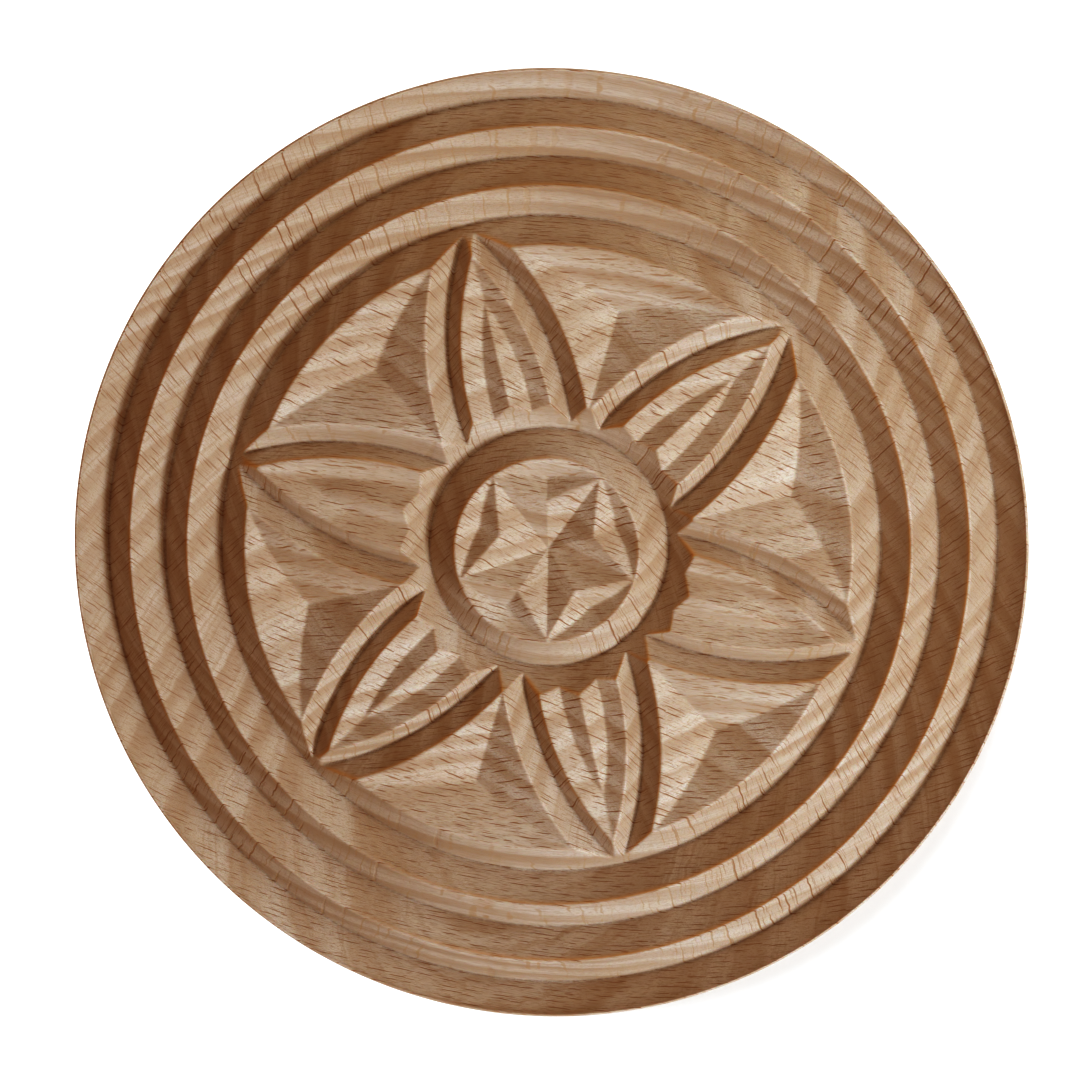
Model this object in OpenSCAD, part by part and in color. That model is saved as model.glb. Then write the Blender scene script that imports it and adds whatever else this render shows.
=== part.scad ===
// Butter print: a round carved printing disc plugged on a turned knob handle.
// Millimetres, +Z up. The print stands on the flat end of its knob with the
// carved face on top; the origin is the centre of that flat end.

/* [Disc] */
// diameter of the carved disc
disc_d = 120; // [120:1:126]
// thickness of the carved disc
disc_t = 18; // [16:0.5:24]
// width of the bevel round the back of the disc
back_bevel = 2.5; // [1:0.5:5]

/* [Ring grooves] */
// depth of the three ring grooves and of the groove round the star
ring_depth = 4.25; // [3.5:0.05:5]
// radius of the outer ring groove at its bottom
ring_1_r = 56.4; // [56.2:0.1:56.6]
// radius of the middle ring groove at its bottom
ring_2_r = 49.15; // [49:0.05:49.6]
// radius of the inner ring groove at its bottom
ring_3_r = 41.85; // [41.8:0.05:42.2]
// radius of the groove round the star at its bottom
centre_r = 15.2; // [15:0.1:15.4]

/* [Flower] */
// depth of the grooves that outline the petals
outline_depth = 2.9; // [2.4:0.05:3.2]
// depth of the two flutes inside each petal
flute_depth = 1.5; // [1.2:0.05:1.8]
// steepness of the three-sided chips between the petals, fall over run
chip_slope = 0.44; // [0.3:0.02:0.46]

/* [Star] */
// depth of the star at its middle
star_depth = 2.9; // [2:0.05:3.4]
// steepness of the five chips round the star, fall over run
star_chip_slope = 0.6; // [0.4:0.02:0.7]

/* [Handle] */
// height of the knob handle below the disc
handle_h = 46; // [40:1:60]
// diameter of the flat end that the print stands on
foot_d = 36; // [34:1:40]
// largest diameter of the knob
knob_d = 46; // [44:1:52]
// diameter of the neck
neck_d = 23; // [20:1:26]
// diameter of the shoulder under the disc
shoulder_d = 36; // [32:1:42]
// diameter of the tenon
tenon_d = 18; // [14:1:18]
// length of the tenon
tenon_l = 9.5; // [6:0.5:10]
// clearance all round the tenon in its hole
tenon_gap = 0.08; // [0.05:0.01:0.1]

/* [Hidden] */
disc_r = disc_d / 2;
shoulder_gap = 0.3;              // between the shoulder and the back of the disc
back_z = handle_h + shoulder_gap;
face_z = back_z + disc_t;        // level of the carved face
over = 2;                        // how far the cutters stand above the face
land = 0.05;                     // half the flat left on top of a crest
hole_end = 0.5;                  // space past the end of the tenon

// ring crests lie midway between neighbouring grooves
crest_1_r = (ring_1_r + ring_2_r) / 2;
crest_2_r = (ring_2_r + ring_3_r) / 2;
crest_3_r = 2 * ring_3_r - crest_2_r;
centre_half = 3.6;               // half the width of the groove round the star
star_ring_r = centre_r - centre_half;

// each petal lies between two arcs whose centres are off its axis
arc_along = 19.3;                // arc centre, distance along the petal axis
arc_aside = 32.4;                // arc centre, distance to the side of the axis
flute_r = 34.85;                 // arc radius at the bottom of the flute
rib_r = 37.45;                   // arc radius at the crest of the outer rib
root_r = 39.35;                  // arc radius at the bottom of the outline
edge_r = 41.8;                   // arc radius at the outer edge of the outline
rib_drop = 0.4;                  // outer rib crest below the face
spine_drop = 0.1;                // middle rib crest below the face
petal_reach = 46;                // the petal cutters end past the inner ring groove
petal_angles = [43, 104.2, 164.3, 223, 282.8, 342.7];

star_tip_r = 11.2;               // tips of the star
star_notch_r = 6.2;              // notches between its arms
star_turn = -90;                 // direction of the first arm

knob_low = 0.3;                  // widest place of the knob, as a part of the height
neck_high = 0.74;                // narrowest place of the neck
profile_steps = 36;
fine = 144;

// the disc turned in one piece: rim, ring grooves, bevel and tenon hole
module turned_disc() {
    hole_r = tenon_d / 2 + tenon_gap;
    hole_top = tenon_l - shoulder_gap + hole_end - disc_t;
    rotate_extrude($fn = fine)
        polygon([
            [0, 0],
            [star_ring_r, 0],
            [centre_r, -ring_depth],
            [centre_r + centre_half, 0],
            [crest_3_r + land, 0],
            [ring_3_r, -ring_depth],
            [crest_2_r - land, 0],
            [crest_2_r + land, 0],
            [ring_2_r, -ring_depth],
            [crest_1_r - land, 0],
            [crest_1_r + land, 0],
            [ring_1_r, -ring_depth],
            [disc_r - 2 * land, 0],
            [disc_r, -2 * land],
            [disc_r, back_bevel - disc_t],
            [disc_r - back_bevel, -disc_t],
            [hole_r, -disc_t],
            [hole_r, hole_top],
            [0, hole_top]
        ]);
}

// half of a petal's carving, beside its axis, which lies along +X
module half_petal() {
    flute_rise = (flute_depth - spine_drop) / (flute_r - arc_aside);
    edge_rise = outline_depth / (edge_r - root_r);
    intersection() {
        translate([arc_along, -arc_aside, 0])
            rotate_extrude($fn = fine)
                polygon([
                    [arc_aside - 1, flute_rise - spine_drop],
                    [flute_r, -flute_depth],
                    [rib_r, -rib_drop],
                    [root_r, -outline_depth],
                    [edge_r + over / edge_rise, over],
                    [arc_aside - 1, over]
                ]);
        translate([0, 0, -outline_depth - 1])
            cube([petal_reach, 20, outline_depth + 1 + over]);
    }
}

// carving of one petal, kept out of the groove round the star
module petal() {
    difference() {
        union() {
            half_petal();
            mirror([0, 1, 0]) half_petal();
        }
        translate([0, 0, -2 * outline_depth])
            cylinder(h = 3 * outline_depth + over, r = centre_r, $fn = fine);
    }
}

// the space over a cone that falls away from one outline of a petal
module beside_petal(angle, side) {
    run = 12;
    rotate([0, 0, angle])
        translate([arc_along, -side * arc_aside, 0])
            rotate_extrude($fn = fine)
                polygon([
                    [edge_r + land, 0],
                    [edge_r + land + run, -run * chip_slope],
                    [edge_r + land + run, over],
                    [edge_r + land, over]
                ]);
}

// three-sided chip between the petals at the angles a and b
module chip(a, b) {
    bottom_r = 12;
    intersection() {
        beside_petal(a, 1);
        beside_petal(b, -1);
        rotate([0, 0, a])
            rotate_extrude(angle = b - a, $fn = fine)
                polygon([
                    [bottom_r, over],
                    [bottom_r, chip_slope * (bottom_r - crest_3_r)],
                    [crest_3_r - land, 0],
                    [crest_3_r - land, over]
                ]);
    }
}

// sunk five-pointed star, deepest in the middle
module star() {
    outline = [for (i = [0:9])
        (i % 2 == 0 ? star_tip_r : star_notch_r) * [cos(36 * i), sin(36 * i)]];
    rotate([0, 0, star_turn]) {
        mirror([0, 0, 1])
            linear_extrude(height = star_depth, scale = 0) polygon(outline);
        linear_extrude(height = over) polygon(outline);
    }
}

// everything over a plane that falls away from the line through p and q
module over_plane(p, q) {
    direction = atan2(q[1] - p[1], q[0] - p[0]);
    size = 30;
    translate([p[0], p[1], 0])
        rotate([0, 0, direction])
            rotate([-atan(star_chip_slope), 0, 0])
                translate([-size / 2, 0, 0])
                    cube([size, size, size / 2]);
}

// chip between two arms of the star
module star_chip() {
    tip_a = (star_tip_r + 2 * land) * [1, 0];
    tip_b = (star_tip_r + 2 * land) * [cos(72), sin(72)];
    notch = (star_notch_r + 2 * land) * [cos(36), sin(36)];
    intersection() {
        over_plane(notch, tip_a);
        over_plane(tip_b, notch);
        rotate_extrude($fn = fine)
            polygon([
                [0, over],
                [0, -star_chip_slope * star_tip_r],
                [star_tip_r, 0],
                [star_tip_r, over]
            ]);
    }
}

module print_disc() {
    color([0.80, 0.62, 0.44])
    translate([0, 0, face_z])
    difference() {
        turned_disc();
        for (a = petal_angles)
            rotate([0, 0, a]) petal();
        for (i = [0:5])
            chip(petal_angles[i], petal_angles[(i + 1) % 6] + (i == 5 ? 360 : 0));
        star();
        for (i = [0:4])
            rotate([0, 0, star_turn + 72 * i]) star_chip();
    }
}

// radius of the handle at a part t of its height
function handle_r(t) =
    t < knob_low
        ? foot_d / 2 + (knob_d - foot_d) / 2 * sin(90 * t / knob_low)
        : t < neck_high
            ? neck_d / 2 + (knob_d - neck_d) / 4
                * (1 + cos(180 * (t - knob_low) / (neck_high - knob_low)))
            : neck_d / 2 + (shoulder_d - neck_d) / 2
                * (1 - cos(90 * (t - neck_high) / (1 - neck_high)));

module handle() {
    color([0.78, 0.60, 0.42])
    rotate_extrude($fn = fine)
        polygon(concat(
            [[0, 0]],
            [for (i = [0:profile_steps])
                [handle_r(i / profile_steps), handle_h * i / profile_steps]],
            [
                [tenon_d / 2, handle_h],
                [tenon_d / 2, handle_h + tenon_l - 1],
                [tenon_d / 2 - 1, handle_h + tenon_l],
                [0, handle_h + tenon_l]
            ]
        ));
}

print_disc();
handle();
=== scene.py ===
"""Looks of a carved wooden butter print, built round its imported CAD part."""
import math

import bpy
import numpy as np
from mathutils import Matrix, Vector


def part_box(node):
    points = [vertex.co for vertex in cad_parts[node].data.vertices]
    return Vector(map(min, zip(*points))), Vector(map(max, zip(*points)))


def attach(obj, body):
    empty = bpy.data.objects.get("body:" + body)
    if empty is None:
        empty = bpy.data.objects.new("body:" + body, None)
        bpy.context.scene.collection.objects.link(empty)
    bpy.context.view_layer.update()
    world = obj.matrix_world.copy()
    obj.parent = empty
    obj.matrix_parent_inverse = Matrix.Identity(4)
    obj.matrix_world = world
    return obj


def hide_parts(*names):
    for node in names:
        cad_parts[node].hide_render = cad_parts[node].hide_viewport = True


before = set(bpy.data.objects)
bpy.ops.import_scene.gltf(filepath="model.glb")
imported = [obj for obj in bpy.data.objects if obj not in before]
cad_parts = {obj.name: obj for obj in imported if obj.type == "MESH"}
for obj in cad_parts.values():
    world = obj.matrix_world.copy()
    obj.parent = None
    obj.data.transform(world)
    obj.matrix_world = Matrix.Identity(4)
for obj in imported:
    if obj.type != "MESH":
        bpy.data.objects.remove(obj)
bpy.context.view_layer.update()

MM = 0.001

# ---- sizes in millimetres and degrees, as in the CAD source ---------------
disc_low, disc_high = (np.array(corner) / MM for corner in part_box("print_disc"))
BACK_Z = disc_low[2]                   # back of the disc
FACE_Z = disc_high[2]                  # carved face
TENON_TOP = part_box("handle")[1][2] / MM
INSIDE = 0.01                          # keeps the visual disc inside the CAD box
DISC_R = float(min(disc_high[0], disc_high[1], -disc_low[0], -disc_low[1])) - INSIDE

RING_DEPTH = 4.25
RINGS = (56.4, 49.15, 41.85)           # ring grooves, radius at the bottom
RINGS_END = 60.0                       # radius where the outer groove runs out
CENTRE_R, CENTRE_HALF = 15.2, 3.6      # groove round the star
CREST_2_R = (RINGS[1] + RINGS[2]) / 2
FIELD_R = 2 * RINGS[2] - CREST_2_R     # crest between inner groove and flower
STAR_RING_R = CENTRE_R - CENTRE_HALF

# each side of a petal follows arcs round one centre: spine, flute, rib, outline
ARC_ALONG, ARC_ASIDE = 19.3, 32.4
SPINE_DROP, FLUTE_DEPTH, RIB_DROP, OUTLINE_DEPTH = 0.1, 1.5, 0.4, 2.9
FLUTE_R, RIB_R, ROOT_R, EDGE_R = 34.85, 37.45, 39.35, 41.8
PETAL_ANGLES = (43.0, 104.2, 164.3, 223.0, 282.8, 342.7)
CHIP_SLOPE, CHIP_REACH = 0.44, 32      # chips between the petals, reach in degrees

STAR_TIP_R, STAR_NOTCH_R, STAR_TURN = 11.2, 6.2, -90.0
STAR_DEPTH, STAR_CHIP_SLOPE = 2.9, 0.6
STAR_STEP = 72                         # from point to point

BACK_BEVEL, RIM_ROUND, RIM_DROP = 2.5, 0.35, 0.08
TENON_R, TENON_GAP, HOLE_DEPTH = 9.0, 0.08, 9.7
SHOULDER_Z = BACK_Z - 0.3
FOOT_R, KNOB_R, NECK_R, SHOULDER_R = 18.0, 23.0, 11.5, 18.0
KNOB_AT, NECK_AT = 0.3, 0.74           # as parts of the shoulder's height

NO_CUT = 9.0                           # height of a carving where it doesn't cut


# ---- carved face ------------------------------------------------------------
def turned(x, y, degrees):
    """x, y in axes turned by an angle."""
    c, s = math.cos(math.radians(degrees)), math.sin(math.radians(degrees))
    return x * c + y * s, y * c - x * s


def groove(r, root, half, depth):
    """V groove round the disc axis, 0 at its edges."""
    return -depth * np.clip(1 - np.abs(r - root) / half, 0, 1)


def petal(x, y, angle):
    """Two flutes and the outline groove of one petal."""
    u, w = turned(x, y, angle)
    rho = np.hypot(u - ARC_ALONG, np.abs(w) + ARC_ASIDE)
    rise = OUTLINE_DEPTH / (EDGE_R - ROOT_R)
    beyond = 10
    height = np.interp(
        rho,
        (ARC_ASIDE, FLUTE_R, RIB_R, ROOT_R, EDGE_R + beyond),
        (-SPINE_DROP, -FLUTE_DEPTH, -RIB_DROP, -OUTLINE_DEPTH, beyond * rise),
    )
    away = (u < 0) | (np.hypot(x, y) < CENTRE_R) | (rho > EDGE_R + 1)
    return np.where(away, NO_CUT, height)


def chip(x, y, before, after):
    """Three-sided chip between two petals."""
    sides = []
    for angle, side in ((before, 1), (after, -1)):
        u, w = turned(x, y, angle)
        rho = np.hypot(u - ARC_ALONG, w + side * ARC_ASIDE)
        sides.append(np.where(u > 0, EDGE_R - rho, NO_CUT))
    outer = np.hypot(x, y) - FIELD_R
    cut = CHIP_SLOPE * np.maximum(np.maximum(sides[0], sides[1]), outer)
    along, across = turned(x, y, (before + after) / 2)
    near = (along > 0) & (np.abs(across) < along * math.tan(math.radians(CHIP_REACH)))
    return np.where(near, cut, NO_CUT)


def star(x, y):
    """Sunk star and the five chips round it."""
    half_step = math.radians(STAR_STEP / 2)
    notch = STAR_NOTCH_R * np.array((math.cos(half_step), math.sin(half_step)))
    edge = notch - (STAR_TIP_R, 0)
    normal = np.array((edge[1], -edge[0])) / np.hypot(*edge)
    reach = normal[0] * STAR_TIP_R
    angle = np.degrees(np.arctan2(y, x)) - STAR_TURN
    fold = np.radians(np.abs((angle + STAR_STEP / 2) % STAR_STEP - STAR_STEP / 2))
    r = np.hypot(x, y)
    outside = r * np.cos(fold) * normal[0] + r * np.sin(fold) * normal[1] - reach
    inner = STAR_DEPTH * outside / reach
    chips = STAR_CHIP_SLOPE * np.maximum(-outside, r - STAR_RING_R)
    return np.where(outside < 0, inner, np.minimum(chips, 0))


def carved_height(x, y):
    """Height of the carved face under the original flat."""
    r = np.hypot(x, y)
    z = np.zeros_like(r)
    for root, inner_half, outer_half in (
        (RINGS[0], (RINGS[0] - RINGS[1]) / 2, RINGS_END - RINGS[0]),
        (RINGS[1], RINGS[1] - CREST_2_R, (RINGS[0] - RINGS[1]) / 2),
        (RINGS[2], RINGS[2] - FIELD_R, CREST_2_R - RINGS[2]),
        (CENTRE_R, CENTRE_HALF, CENTRE_HALF),
    ):
        half = np.where(r < root, inner_half, outer_half)
        z = np.minimum(z, groove(r, root, half, RING_DEPTH))
    following = PETAL_ANGLES[1:] + (PETAL_ANGLES[0] + 360,)
    for angle, after in zip(PETAL_ANGLES, following):
        z = np.minimum(z, petal(x, y, angle))
        z = np.minimum(z, chip(x, y, angle, after))
    return np.where(r < STAR_RING_R, np.minimum(z, star(x, y)), z)


def blurred(grid, sigma):
    """Grid smoothed by a Gaussian, sigma in cells."""
    n = int(3 * sigma) + 1
    kernel = np.exp(-0.5 * (np.arange(-n, n + 1) / sigma) ** 2)
    kernel /= kernel.sum()
    for axis in (0, 1):
        total = np.zeros_like(grid)
        for k, weight in zip(range(-n, n + 1), kernel):
            total += weight * np.roll(grid, k, axis)
        grid = total
    return grid


CELL = 0.1                             # spacing of the grid over the face
HALF = 62.0                            # half its width
EDGE_BLUR, HOLLOW_BLUR, CREST_BLUR = 0.9, 3.2, 5    # in cells
axis_mm = np.arange(-HALF, HALF + CELL / 2, CELL)
sharp = carved_height(*np.meshgrid(axis_mm, axis_mm))
relief = blurred(sharp, EDGE_BLUR)
# how far a place lies under its surroundings marks the bottoms of the grooves, which get a
# painted shade with some fibre fuzz
sunk = blurred(sharp, HOLLOW_BLUR) - relief
hollow_map = np.clip((sunk - 0.09) / 0.20, 0, 1) * 0.88
# and how far it stands over them marks the crests, which get a painted orange glow on the side
# turned from the key lamp
risen = relief - blurred(sharp, CREST_BLUR)
crest_painted_glow_map = np.clip((risen - 0.05) / 0.30, 0, 1) * 0.75

# unevenness left by the knife: size in cells, height
random = np.random.default_rng(11)
for size, height in ((22, 0.05), (7, 0.018)):
    bumps = blurred(random.standard_normal(relief.shape), size)
    relief = relief + height * bumps / bumps.std()
relief = np.minimum(relief, 0)


def sampled(x, y, grid):
    """Value of a grid over the face at any point, by linear interpolation."""
    i, j = (x + HALF) / CELL, (y + HALF) / CELL
    i0, j0 = np.floor(i).astype(int), np.floor(j).astype(int)
    a, b = i - i0, j - j0
    return (
        grid[j0, i0] * (1 - a) * (1 - b) + grid[j0, i0 + 1] * a * (1 - b)
        + grid[j0 + 1, i0] * (1 - a) * b + grid[j0 + 1, i0 + 1] * a * b
    )


# ---- meshes -------------------------------------------------------------------
def turns(count):
    """Angles of the points in one row."""
    return np.linspace(0, 2 * math.pi, count, endpoint=False)


def row(r, z, around):
    """Points round the axis at radius r; z is one height or one for each."""
    return np.stack((r * np.cos(around), r * np.sin(around), np.zeros(len(around)) + z), axis=1)


def revolved_mesh(name, rows):
    """Closed mesh from rows of points, each row one turn, top to bottom."""
    count, segments = len(rows), len(rows[0])
    tips = [rows[0].mean(axis=0), rows[-1].mean(axis=0)]
    points = np.concatenate([*rows, np.array(tips)]) * MM
    here, after = np.arange(segments), (np.arange(segments) + 1) % segments
    start = np.arange(count - 1)[:, None] * segments
    base, nxt = start + here, start + after
    quads = np.stack([base, base + segments, nxt + segments, nxt], axis=2).reshape(-1, 4)
    top, bottom = count * segments, count * segments + 1
    last = (count - 1) * segments
    caps = [(top, k, n) for k, n in zip(here, after)]
    caps += [(bottom, last + n, last + k) for k, n in zip(here, after)]
    loops = np.concatenate([quads.ravel(), np.array(caps, dtype=int).ravel()])
    sizes = np.concatenate([np.full(len(quads), 4), np.full(len(caps), 3)])
    starts = np.concatenate([[0], np.cumsum(sizes)[:-1]])
    mesh = bpy.data.meshes.new(name)
    mesh.vertices.add(len(points))
    mesh.vertices.foreach_set("co", points.astype(np.float32).ravel())
    mesh.loops.add(len(loops))
    mesh.loops.foreach_set("vertex_index", loops.astype(np.int32))
    mesh.polygons.add(len(sizes))
    mesh.polygons.foreach_set("loop_start", starts.astype(np.int32))
    mesh.polygons.foreach_set("use_smooth", np.ones(len(sizes), dtype=bool))
    mesh.update(calc_edges=True)
    mesh.validate()
    obj = bpy.data.objects.new(name, mesh)
    bpy.context.scene.collection.objects.link(obj)
    return obj


def disc_rows():
    """Carved face, rounded rim, side, back with its bevel, hole for the tenon."""
    around = turns(1080)
    face_step = 0.2
    rows = []
    for r in np.arange(face_step, DISC_R - RIM_ROUND, face_step):
        carved = sampled(r * np.cos(around), r * np.sin(around), relief)
        rows.append(row(r, FACE_Z + carved, around))
    for a in np.radians(np.linspace(0, 90, 5)):
        inward, down = RIM_ROUND * (1 - math.sin(a)), RIM_ROUND * (1 - math.cos(a))
        rows.append(row(DISC_R - inward, FACE_Z - RIM_DROP - down, around))
    for z in np.linspace(FACE_Z - 1.5, BACK_Z + BACK_BEVEL + 0.6, 8):
        rows.append(row(DISC_R, z, around))
    for a in np.radians(np.linspace(0, 90, 9)):
        inward, up = BACK_BEVEL * (1 - math.cos(a)), BACK_BEVEL * (1 - math.sin(a))
        rows.append(row(DISC_R - inward, BACK_Z + up, around))
    hole_r, hole_edge = TENON_R + TENON_GAP, 0.4
    for r in np.linspace(DISC_R - BACK_BEVEL - 1, hole_r + hole_edge, 14):
        rows.append(row(r, BACK_Z, around))
    rows.append(row(hole_r, BACK_Z + hole_edge, around))
    rows.append(row(hole_r, BACK_Z + HOLE_DEPTH, around))
    return rows


def handle_radius(t):
    """Radius of the turned knob, t from 0 at its foot to 1 at its shoulder."""
    if t < KNOB_AT:
        return FOOT_R + (KNOB_R - FOOT_R) * math.sin(math.pi / 2 * t / KNOB_AT)
    if t < NECK_AT:
        part = (t - KNOB_AT) / (NECK_AT - KNOB_AT)
        return NECK_R + (KNOB_R - NECK_R) / 2 * (1 + math.cos(math.pi * part))
    part = (t - NECK_AT) / (1 - NECK_AT)
    return NECK_R + (SHOULDER_R - NECK_R) * (1 - math.cos(math.pi / 2 * part))


def handle_rows():
    """Tenon with a small chamfer, knob, slightly rounded foot."""
    around = turns(192)
    outline = [(TENON_R - 1.2, TENON_TOP), (TENON_R - 0.9, TENON_TOP - 0.1),
               (TENON_R, TENON_TOP - 1), (TENON_R, SHOULDER_Z + 0.02)]
    steps = 96
    for k in range(steps - 1):
        t = 1 - k / steps
        outline.append((min(handle_radius(t), KNOB_R - 0.02), SHOULDER_Z * t))
    outline += [(FOOT_R - 0.1, 0.35), (FOOT_R - 0.6, 0.0)]
    return [row(r, z, around) for r, z in outline]


disc = revolved_mesh("carved_disc", disc_rows())
handle = revolved_mesh("turned_handle", handle_rows())


# ---- wood ---------------------------------------------------------------------
class Shader:
    """Short names for building one material's node tree."""

    def __init__(self, name):
        self.material = bpy.data.materials.new(name)
        self.material.use_nodes = True
        self.tree = self.material.node_tree
        self.surface = self.tree.nodes["Principled BSDF"]

    def node(self, kind, inputs=(), **settings):
        made = self.tree.nodes.new(kind)
        for key, value in settings.items():
            setattr(made, key, value)
        for key, value in dict(inputs).items():
            self.feed(made.inputs[key], value)
        return made

    def feed(self, socket, value):
        if isinstance(value, bpy.types.NodeSocket):
            self.tree.links.new(value, socket)
        else:
            socket.default_value = value

    def math(self, operation, *values):
        made = self.node("ShaderNodeMath", operation=operation)
        for socket, value in zip(made.inputs, values):
            self.feed(socket, value)
        return made.outputs[0]

    def times(self, a, b):
        return self.math("MULTIPLY", a, b)

    def dot(self, vector, direction):
        made = self.node("ShaderNodeVectorMath", operation="DOT_PRODUCT")
        self.feed(made.inputs[0], vector)
        self.feed(made.inputs[1], direction)
        return made.outputs["Value"]

    def join(self, x, y, z=0.0):
        return self.node("ShaderNodeCombineXYZ", {"X": x, "Y": y, "Z": z}).outputs[0]

    def noise(self, vector, scale, detail=2.0, rough=0.5):
        return self.node(
            "ShaderNodeTexNoise",
            {"Vector": vector, "Scale": scale, "Detail": detail, "Roughness": rough},
        ).outputs["Fac"]

    def stretched_noise(self, *scaled, detail=2.0, rough=0.5):
        """Noise from three (coordinate, cells per mm) pairs."""
        vector = self.join(*(self.times(value, scale) for value, scale in scaled))
        return self.noise(vector, 1.0, detail, rough)

    def ramp(self, value, low, high, out_low=0.0, out_high=1.0):
        made = self.node("ShaderNodeMapRange", interpolation_type="SMOOTHSTEP")
        for key, v in (("Value", value), ("From Min", low), ("From Max", high),
                       ("To Min", out_low), ("To Max", out_high)):
            self.feed(made.inputs[key], v)
        return made.outputs["Result"]

    def mix(self, factor, a, b):
        made = self.node("ShaderNodeMix", data_type="RGBA", clamp_factor=True)
        self.feed(made.inputs["Factor"], factor)
        self.feed(made.inputs["A"], a)
        self.feed(made.inputs["B"], b)
        return made.outputs["Result"]


def flecks(sh, along, across, length, spacing_along, spacing_across, width):
    """Thin lens-shaped ray flecks, one to a cell, lying along the fibre."""
    cell = sh.join(
        sh.math("DIVIDE", along, spacing_along), sh.math("DIVIDE", across, spacing_across))
    voronoi = sh.node("ShaderNodeTexVoronoi", {"Vector": cell, "Scale": 1.0, "Randomness": 0.9},
                      voronoi_dimensions="2D")
    offset = sh.node("ShaderNodeVectorMath", operation="SUBTRACT")
    sh.feed(offset.inputs[0], voronoi.outputs["Position"])
    sh.feed(offset.inputs[1], cell)
    parts = sh.node("ShaderNodeSeparateXYZ", {"Vector": offset.outputs[0]})
    chance = sh.node("ShaderNodeSeparateColor", {"Color": voronoi.outputs["Color"]})
    reach = sh.math("MULTIPLY_ADD", chance.outputs[0], length, 0.35 * length)
    x = sh.math("DIVIDE", sh.times(parts.outputs["X"], spacing_along), reach)
    y = sh.times(parts.outputs["Y"], spacing_across / width)
    radius = sh.math("SQRT", sh.math("ADD", sh.times(x, x), sh.times(y, y)))
    shape = sh.ramp(radius, 0.45, 1.15, 1.0, 0.0)
    return sh.times(shape, sh.ramp(chance.outputs[1], 0.05, 0.6, 0.25, 1.0))


LIGHT_WOOD = (0.650, 0.555, 0.470, 1)
WOOD = (0.570, 0.455, 0.355, 1)
LATE_WOOD = (0.420, 0.290, 0.195, 1)
FLECK = (0.250, 0.108, 0.047, 1)
RAY_FACE = (0.470, 0.310, 0.180, 1)    # a ray seen from its flat side
# painted shade for the groove bottoms, with some fibre fuzz
GROOVE_SHADE_AND_FUZZ = (0.085, 0.032, 0.013, 1)
# painted glow of light through the thin crests
PAINTED_CREST_GLOW = (0.700, 0.330, 0.085, 1)
RING_WIDTH = 3.3                       # one year's growth, mm


def direction(azimuth, elevation):
    """Unit vector towards a place in the sky, angles in degrees."""
    a, e = math.radians(azimuth), math.radians(elevation)
    return math.cos(a) * math.cos(e), math.sin(a) * math.cos(e), math.sin(e)


KEY_AZIMUTH, KEY_ELEVATION = -34, 38


def carving_colour(sh, colour, position, normal):
    """Painted shade, with some fibre fuzz, in the groove bottoms, and a painted orange glow on
    the crests' sides turned from the key lamp.
    """
    # painted shade darkens the groove bottoms, broken up a little like fibre fuzz
    depth = sh.node("ShaderNodeAttribute", attribute_name="hollow").outputs["Fac"]
    fibres = sh.noise(position, 2.2, 3.0, 0.7)
    depth = sh.times(depth, sh.ramp(fibres, 0.30, 0.60, 0.45, 1.0))
    colour = sh.mix(depth, colour, GROOVE_SHADE_AND_FUZZ)
    # painted glow: orange on the crests only where they turn from the key lamp, standing in for
    # light shining through the thin wood
    edge = sh.node("ShaderNodeAttribute", attribute_name="crest").outputs["Fac"]
    towards_key = sh.dot(normal, direction(KEY_AZIMUTH, KEY_ELEVATION))
    shaded = sh.ramp(towards_key, 0.10, 0.45, 1.0, 0.0)
    return sh.mix(sh.times(edge, shaded), colour, PAINTED_CREST_GLOW)


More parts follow.
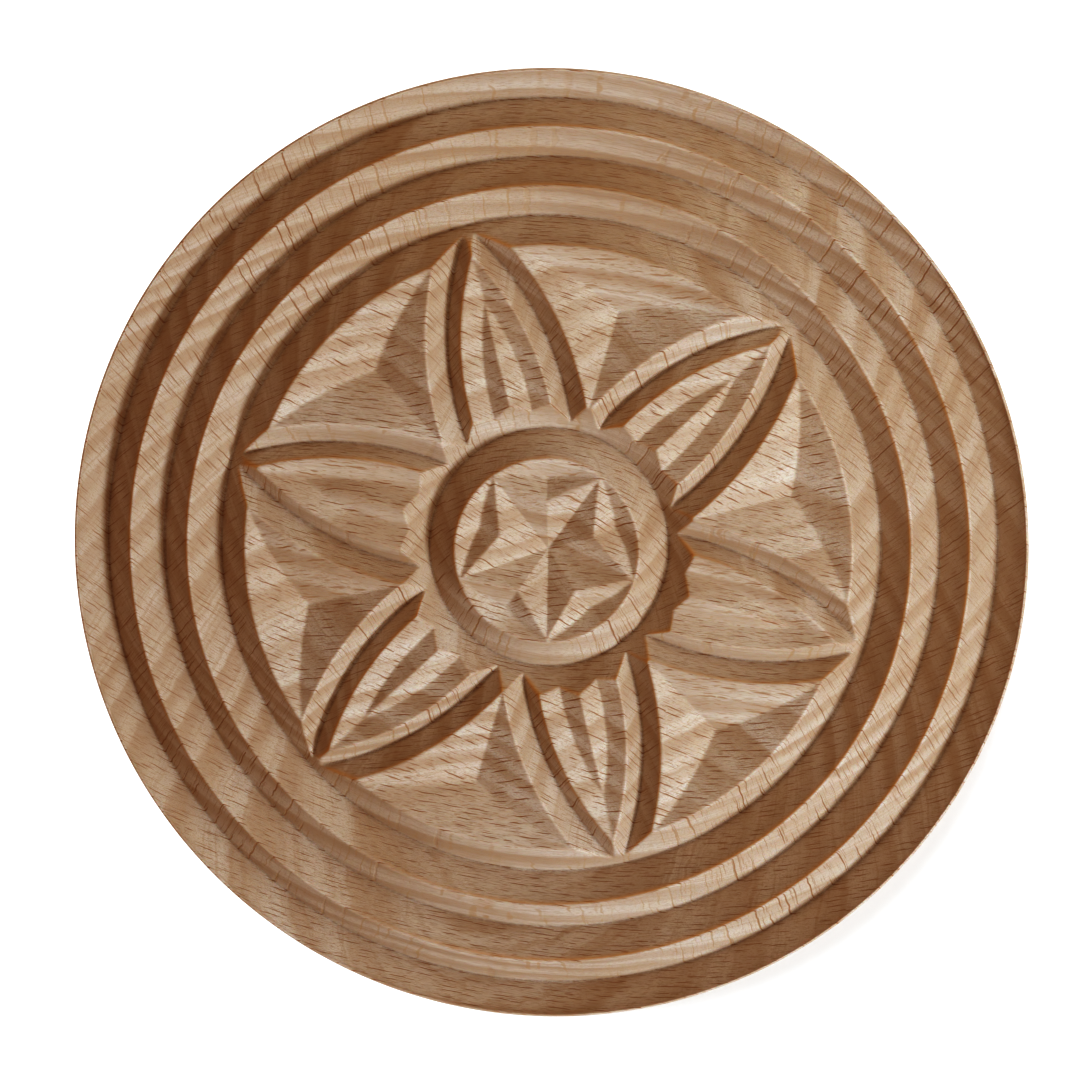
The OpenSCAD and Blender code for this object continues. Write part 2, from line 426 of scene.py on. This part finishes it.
def beech(name, fibre, radial, carved=False):
    """Solid beech: the pattern runs through the piece along its own axes."""
    sh = Shader(name)
    fibre, radial = np.array(fibre, float), np.array(radial, float)
    fibre /= np.linalg.norm(fibre)
    radial -= fibre * radial.dot(fibre)
    radial /= np.linalg.norm(radial)
    tangent = np.cross(radial, fibre)

    # f along the fibre, p along the radius, t along the rings, in mm
    in_mm = sh.node("ShaderNodeVectorMath", operation="SCALE")
    sh.feed(in_mm.inputs[0], sh.node("ShaderNodeTexCoord").outputs["Object"])
    in_mm.inputs["Scale"].default_value = 1 / MM
    position = in_mm.outputs[0]
    wave = sh.math("MULTIPLY_ADD", sh.noise(position, 0.045, 1.0), 2.8, -1.4)
    tremble = sh.math("MULTIPLY_ADD", sh.noise(position, 0.45, 1.0), 0.5, -0.25)
    f = sh.dot(position, tuple(fibre))
    p = sh.math("ADD", sh.math("ADD", sh.dot(position, tuple(radial)), wave), tremble)
    t = sh.math("MULTIPLY_ADD", wave, 0.35, sh.dot(position, tuple(tangent)))

    # growth rings: soft bands, darker towards the late wood
    uneven = sh.noise(sh.join(sh.times(p, 0.09), 3.0), 1.0, 0.0)
    years = sh.math("ADD", sh.math("DIVIDE", p, RING_WIDTH), sh.times(uneven, 2.0))
    ring = sh.math("FRACT", years)
    strength = sh.noise(sh.join(sh.math("FLOOR", years), 0.5, sh.times(f, 0.02)), 0.77, 0.0)
    late = sh.times(sh.ramp(ring, 0.15, 0.70), sh.ramp(ring, 0.84, 1.0, 1.0, 0.0))
    late = sh.times(late, sh.ramp(strength, 0.3, 0.7, 0.45, 1.0))
    thin = sh.stretched_noise((p, 2.7), (f, 0.03), (t, 0.03), rough=0.6)
    # fine vessels drawn out along the fibre
    pores = sh.stretched_noise((f, 0.40), (p, 7.5), (t, 7.5), detail=3.0, rough=0.7)
    # the finest rays, thin sheets along the radius and the fibre
    hairs = sh.stretched_noise((f, 0.8), (p, 0.25), (t, 8.0), rough=0.6)
    patches = sh.stretched_noise((f, 0.03), (p, 0.15), (t, 0.06), detail=3.0)
    wiggle = sh.math("MULTIPLY_ADD", sh.noise(position, 0.6, 1.0), 0.24, -0.12)
    t_ray = sh.math("ADD", t, wiggle)
    long_rays = flecks(sh, f, t_ray, 1.6, 3.4, 0.80, 0.066)
    f_short, t_short = sh.math("ADD", f, 7.3), sh.math("ADD", t_ray, 3.1)
    short_rays = flecks(sh, f_short, t_short, 0.7, 1.7, 0.42, 0.040)

    # rays are broad and pale where the surface lies along them
    normal = sh.node("ShaderNodeNewGeometry").outputs["Normal"]
    in_ray = sh.math("ABSOLUTE", sh.dot(normal, tuple(tangent)))
    end_grain = sh.math("ABSOLUTE", sh.dot(normal, tuple(fibre)))
    ray_colour = sh.mix(sh.ramp(in_ray, 0.80, 0.97), FLECK, RAY_FACE)
    seen_flat = sh.ramp(in_ray, 0.86, 0.97, 0.95, 0.25)

    colour = sh.mix(sh.ramp(patches, 0.3, 0.7), WOOD, LIGHT_WOOD)
    colour = sh.mix(sh.times(late, 0.76), colour, LATE_WOOD)
    colour = sh.mix(sh.ramp(thin, 0.48, 0.70, 0.0, 0.45), colour, LATE_WOOD)
    colour = sh.mix(sh.ramp(pores, 0.46, 0.72, 0.0, 0.75), colour, LATE_WOOD)
    hair_part = sh.times(sh.ramp(hairs, 0.54, 0.76, 0.0, 0.50), seen_flat)
    colour = sh.mix(hair_part, colour, ray_colour)
    colour = sh.mix(sh.times(short_rays, 0.60), colour, ray_colour)
    colour = sh.mix(sh.times(long_rays, seen_flat), colour, ray_colour)
    colour = sh.mix(sh.ramp(end_grain, 0.30, 1.0, 0.0, 0.45), colour, LATE_WOOD)
    if carved:
        colour = carving_colour(sh, colour, position, normal)
    sh.feed(sh.surface.inputs["Base Color"], colour)
    sh.feed(sh.surface.inputs["Roughness"], sh.ramp(pores, 0.3, 0.8, 0.50, 0.66))
    sh.surface.inputs["Specular IOR Level"].default_value = 0.45
    sh.surface.inputs["Subsurface Weight"].default_value = 0.2
    sh.surface.inputs["Subsurface Radius"].default_value = (1.0, 0.28, 0.08)
    sh.surface.inputs["Subsurface Scale"].default_value = 1.0 * MM
    height = sh.math("ADD", sh.times(long_rays, -0.6), sh.times(pores, -1.6))
    bump = sh.node("ShaderNodeBump", {"Height": height, "Strength": 0.7, "Distance": 0.07 * MM})
    sh.feed(sh.surface.inputs["Normal"], bump.outputs[0])
    return sh.material


def store_on_face(obj, **grids):
    """Writes each grid's value to the vertices of the carved face."""
    points = np.zeros(len(obj.data.vertices) * 3, np.float32)
    obj.data.vertices.foreach_get("co", points)
    x, y, z = points.reshape(-1, 3).T / MM
    on_face = (z > FACE_Z - RING_DEPTH - 0.3) & (np.hypot(x, y) < DISC_R - 1)
    for name, grid in grids.items():
        values = np.where(on_face, sampled(x, y, grid), 0)
        attribute = obj.data.attributes.new(name, "FLOAT", "POINT")
        attribute.data.foreach_set("value", values.astype(np.float32))


SLANT, RING_TILT = math.radians(-8), math.radians(40)
DISC_FIBRE = (math.cos(SLANT), math.sin(SLANT), 0.0)
DISC_RADIAL = (0.0, math.sin(RING_TILT), math.cos(RING_TILT))
HANDLE_FIBRE, HANDLE_RADIAL = (0.05, 0.02, 1), (1, 0.3, 0)
# masks for the painted groove shade and the painted crest glow
store_on_face(disc, hollow=hollow_map, crest=crest_painted_glow_map)
disc.data.materials.append(beech("disc_wood", DISC_FIBRE, DISC_RADIAL, carved=True))
handle.data.materials.append(beech("handle_wood", HANDLE_FIBRE, HANDLE_RADIAL))

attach(disc, "print_disc")
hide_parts("print_disc")
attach(handle, "handle")
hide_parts("handle")


# ---- floor, lights, camera ------------------------------------------------------
def paper(name, colour):
    """Plain matt material."""
    material = bpy.data.materials.new(name)
    material.use_nodes = True
    surface = material.node_tree.nodes["Principled BSDF"]
    surface.inputs["Base Color"].default_value = (*colour, 1)
    surface.inputs["Roughness"].default_value = 0.9
    surface.inputs["Specular IOR Level"].default_value = 0.1
    return material


FLOOR_HALF = 60.0
floor_mesh = bpy.data.meshes.new("floor")
corners = [(x * FLOOR_HALF, y * FLOOR_HALF, 0) for x, y in ((-1, -1), (1, -1), (1, 1), (-1, 1))]
floor_mesh.from_pydata(corners, [], [(0, 1, 2, 3)])
floor = bpy.data.objects.new("floor", floor_mesh)
bpy.context.scene.collection.objects.link(floor)
floor.data.materials.append(paper("floor_paper", (0.90, 0.785, 0.71)))

lit_object = bpy.data.collections.new("lit_object")
lit_floor = bpy.data.collections.new("lit_floor")
for piece in (disc, handle):
    lit_object.objects.link(piece)
lit_floor.objects.link(floor)


def add_light(name, kind, energy, colour, receivers):
    """Light that falls on the objects of one collection only."""
    light = bpy.data.lights.new(name, kind)
    light.energy = energy
    light.color = colour
    obj = bpy.data.objects.new(name, light)
    bpy.context.scene.collection.objects.link(obj)
    obj.light_linking.receiver_collection = receivers
    return obj


def sun(name, azimuth, elevation, angle, strength, colour, receivers, shadow=True):
    """Far light, angle is its apparent width in degrees."""
    obj = add_light(name, "SUN", strength, colour, receivers)
    obj.data.angle = math.radians(angle)
    obj.data.use_shadow = shadow
    towards = Vector(direction(azimuth, elevation))
    obj.rotation_euler = towards.to_track_quat("Z", "Y").to_euler()
    obj.location = towards * 0.6


def lamp(name, azimuth, elevation, distance, angle, strength, colour):
    """Round lamp near the object, so that its light falls off across the face."""
    obj = add_light(name, "POINT", strength * 4 * math.pi * distance ** 2, colour, lit_object)
    obj.data.shadow_soft_size = distance * math.tan(math.radians(angle / 2))
    obj.location = face_centre + Vector(direction(azimuth, elevation)) * distance
    obj.visible_camera = False


WHITE = (1.0, 1.0, 1.0)
face_centre = Vector((0, 0, FACE_Z * MM))
lamp("key", KEY_AZIMUTH, KEY_ELEVATION, 0.50, 12, 2.85, (0.95, 1.0, 1.06))
lamp("wide_key", 0, 48, 0.30, 60, 0.85, (0.98, 1.0, 1.0))
lamp("side_high", 64, 34, 0.20, 36, 0.74, (1.0, 0.98, 0.85))
sun("side_low", -125, 34, 40, 0.40, WHITE, lit_object)
sun("warm_dome", 0, 90, 180, 0.46, (1.0, 0.36, 0.11), lit_object)
sun("floor_fill", 0, 90, 5, 2.9, WHITE, lit_floor, shadow=False)
sun("floor_light", 106, 73, 5, 1.6, WHITE, lit_floor)


def studio_world(strength, backdrop_strength):
    """Weak white surroundings that the camera sees as a bright backdrop."""
    world = bpy.data.worlds.new("studio")
    world.use_nodes = True
    nodes, links = world.node_tree.nodes, world.node_tree.links
    around = nodes["Background"]
    backdrop = nodes.new("ShaderNodeBackground")
    for background, level in ((around, strength), (backdrop, backdrop_strength)):
        background.inputs["Color"].default_value = (*WHITE, 1)
        background.inputs["Strength"].default_value = level
    either = nodes.new("ShaderNodeMixShader")
    links.new(nodes.new("ShaderNodeLightPath").outputs["Is Camera Ray"], either.inputs[0])
    links.new(around.outputs[0], either.inputs[1])
    links.new(backdrop.outputs[0], either.inputs[2])
    links.new(either.outputs[0], nodes["World Output"].inputs[0])
    return world


bpy.context.scene.world = studio_world(0.06, 1.3)

# shadows of the wood turn golden, its lights turn creamy, as on film
GRADE = ((0, 0.945, 0.964), (1, 1.158, 1.158), (2, 1.335, 1.38))    # channel, power, gain
view = bpy.context.scene.view_settings
view.view_transform = "Standard"
view.look = "None"
view.gamma = 0.77
view.use_curve_mapping = True
grade = view.curve_mapping
grade.use_clip = False
grade.extend = "EXTRAPOLATED"
for channel, power, gain in GRADE:
    curve = grade.curves[channel].points
    for level in (0.05, 0.12, 0.22, 0.36, 0.55, 0.75):
        curve.new(level, gain * level ** power)
    curve[-1].location = (1.0, gain)
grade.update()

CAMERA_DISTANCE = 0.395
CAMERA_TILT, CAMERA_HEADING = math.radians(8.2), math.radians(63)   # off the disc's axis
AIM = Vector((-0.84, 1.43, 0)) * MM                                 # from the face's centre
camera_data = bpy.data.cameras.new("camera")
camera_data.lens = 105
camera_data.sensor_width = 36
camera_data.clip_start = 0.01
camera_data.clip_end = 200
camera = bpy.data.objects.new("camera", camera_data)
bpy.context.scene.collection.objects.link(camera)
camera.location = face_centre + CAMERA_DISTANCE * Vector((
    math.sin(CAMERA_TILT) * math.cos(CAMERA_HEADING),
    math.sin(CAMERA_TILT) * math.sin(CAMERA_HEADING),
    math.cos(CAMERA_TILT),
))
look = (face_centre + AIM - camera.location).normalized()
right = look.cross(Vector((0, 1, 0))).normalized()
up = right.cross(look)
camera.rotation_euler = Matrix((right, up, -look)).transposed().to_euler()
bpy.context.scene.camera = camera
